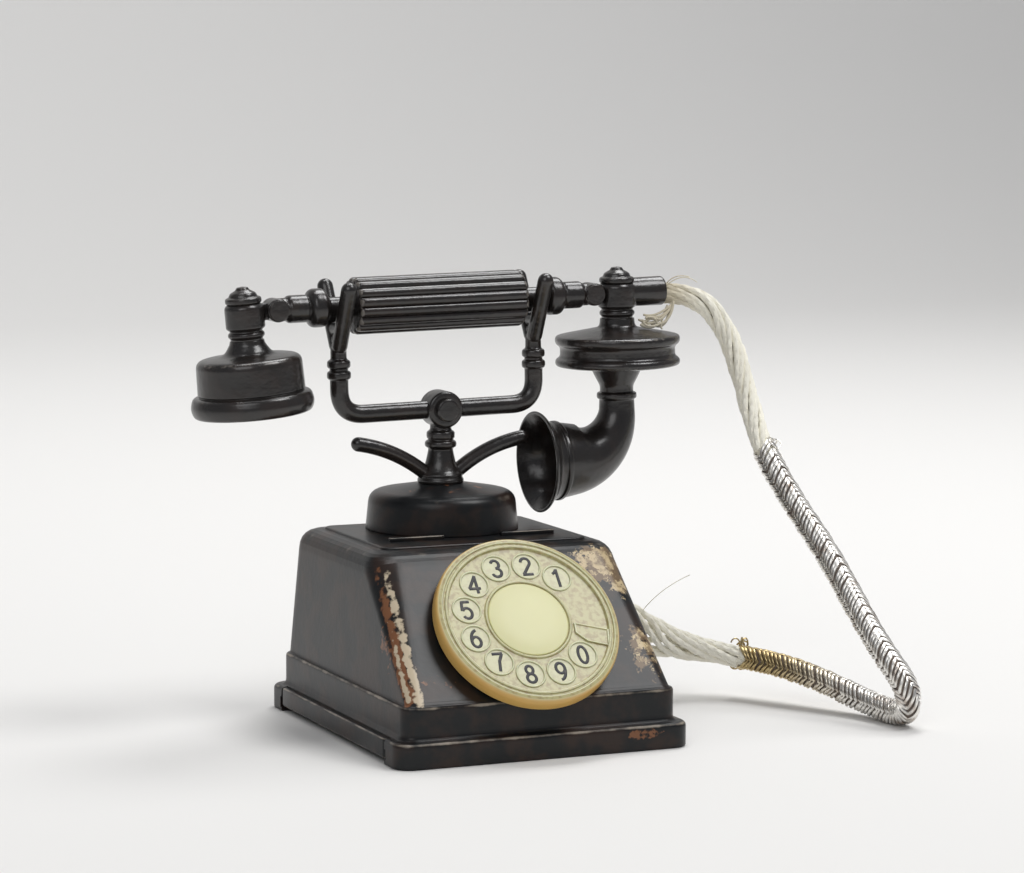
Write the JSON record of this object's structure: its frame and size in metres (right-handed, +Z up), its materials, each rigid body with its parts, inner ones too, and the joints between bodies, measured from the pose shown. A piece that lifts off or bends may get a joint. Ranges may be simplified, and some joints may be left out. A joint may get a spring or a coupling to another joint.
{
  "type": "miniature desk telephone",
  "caption": "Die-cast miniature desk telephone: dial on a leaning front, handset with a bent horn in a forked cradle, string cord from handset to base.",
  "frame": {"origin": "under the middle of the object without its cord, on the floor; the middle of the plinth is 0.75 mm further back", "axes": "+Z up, -Y towards the dial, +X towards the mouthpiece horn and the cord"},
  "size_m": [0.0828, 0.0465, 0.0557],
  "materials": {
    "cast_base": "worn dark gloss over copper",
    "bronzed": "dark bronzed satin",
    "plain_steel": "plain",
    "ivory": "aged, glossy",
    "cream": "smooth",
    "cotton": "twisted string",
    "tinsel": "wound metal thread"
  },
  "bodies": {
    "base": {"base_housing": "cast_base", "turret_cap": "cast_base", "cradle_post": "bronzed", "wing_left": "bronzed", "wing_right": "bronzed", "yoke_bar": "bronzed", "yoke_pin": "bronzed", "fork_left": "bronzed", "fork_right": "bronzed", "stud_washer": "plain_steel", "dial_pivot": "plain_steel", "dial_nut": "plain_steel", "cord_wrap": "tinsel", "cord_lower": "cotton", "cord_knot": "cotton"},
    "handset": {"handset_grip": "bronzed", "handset_rod": "plain_steel", "arm_left": "bronzed", "arm_right": "bronzed", "knuckle_rivets": "bronzed", "earpiece_stem": "bronzed", "earpiece_finial": "bronzed", "earpiece_bell": "bronzed", "mouthpiece_stem": "bronzed", "mouthpiece_finial": "bronzed", "mouthpiece_capsule": "bronzed", "mouthpiece_horn": "bronzed", "cord_upper": "cotton"},
    "dial": {"dial_disc": "ivory", "dial_cap": "cream"},
    "tray": {"bottom_tray": "cast_base"}
  },
  "joints": [
    {"name": "handset_lift", "type": "slide", "parent": "base", "child": "handset", "axis": [0.1191, 0, 0.9929], "range_m": [0, 0.02], "deforming": ["cord_upper", "cord_wrap"]},
    {"name": "dial_spin", "type": "hinge", "parent": "base", "child": "dial", "pos_m": [0, -0.01377, 0.01428], "axis": [0, -0.7501, 0.6613], "continuous": true},
    {"name": "tray_slide", "type": "slide", "parent": "base", "child": "tray", "axis": [-1, 0, 0], "range_m": [0, 0.03]}
  ]
}
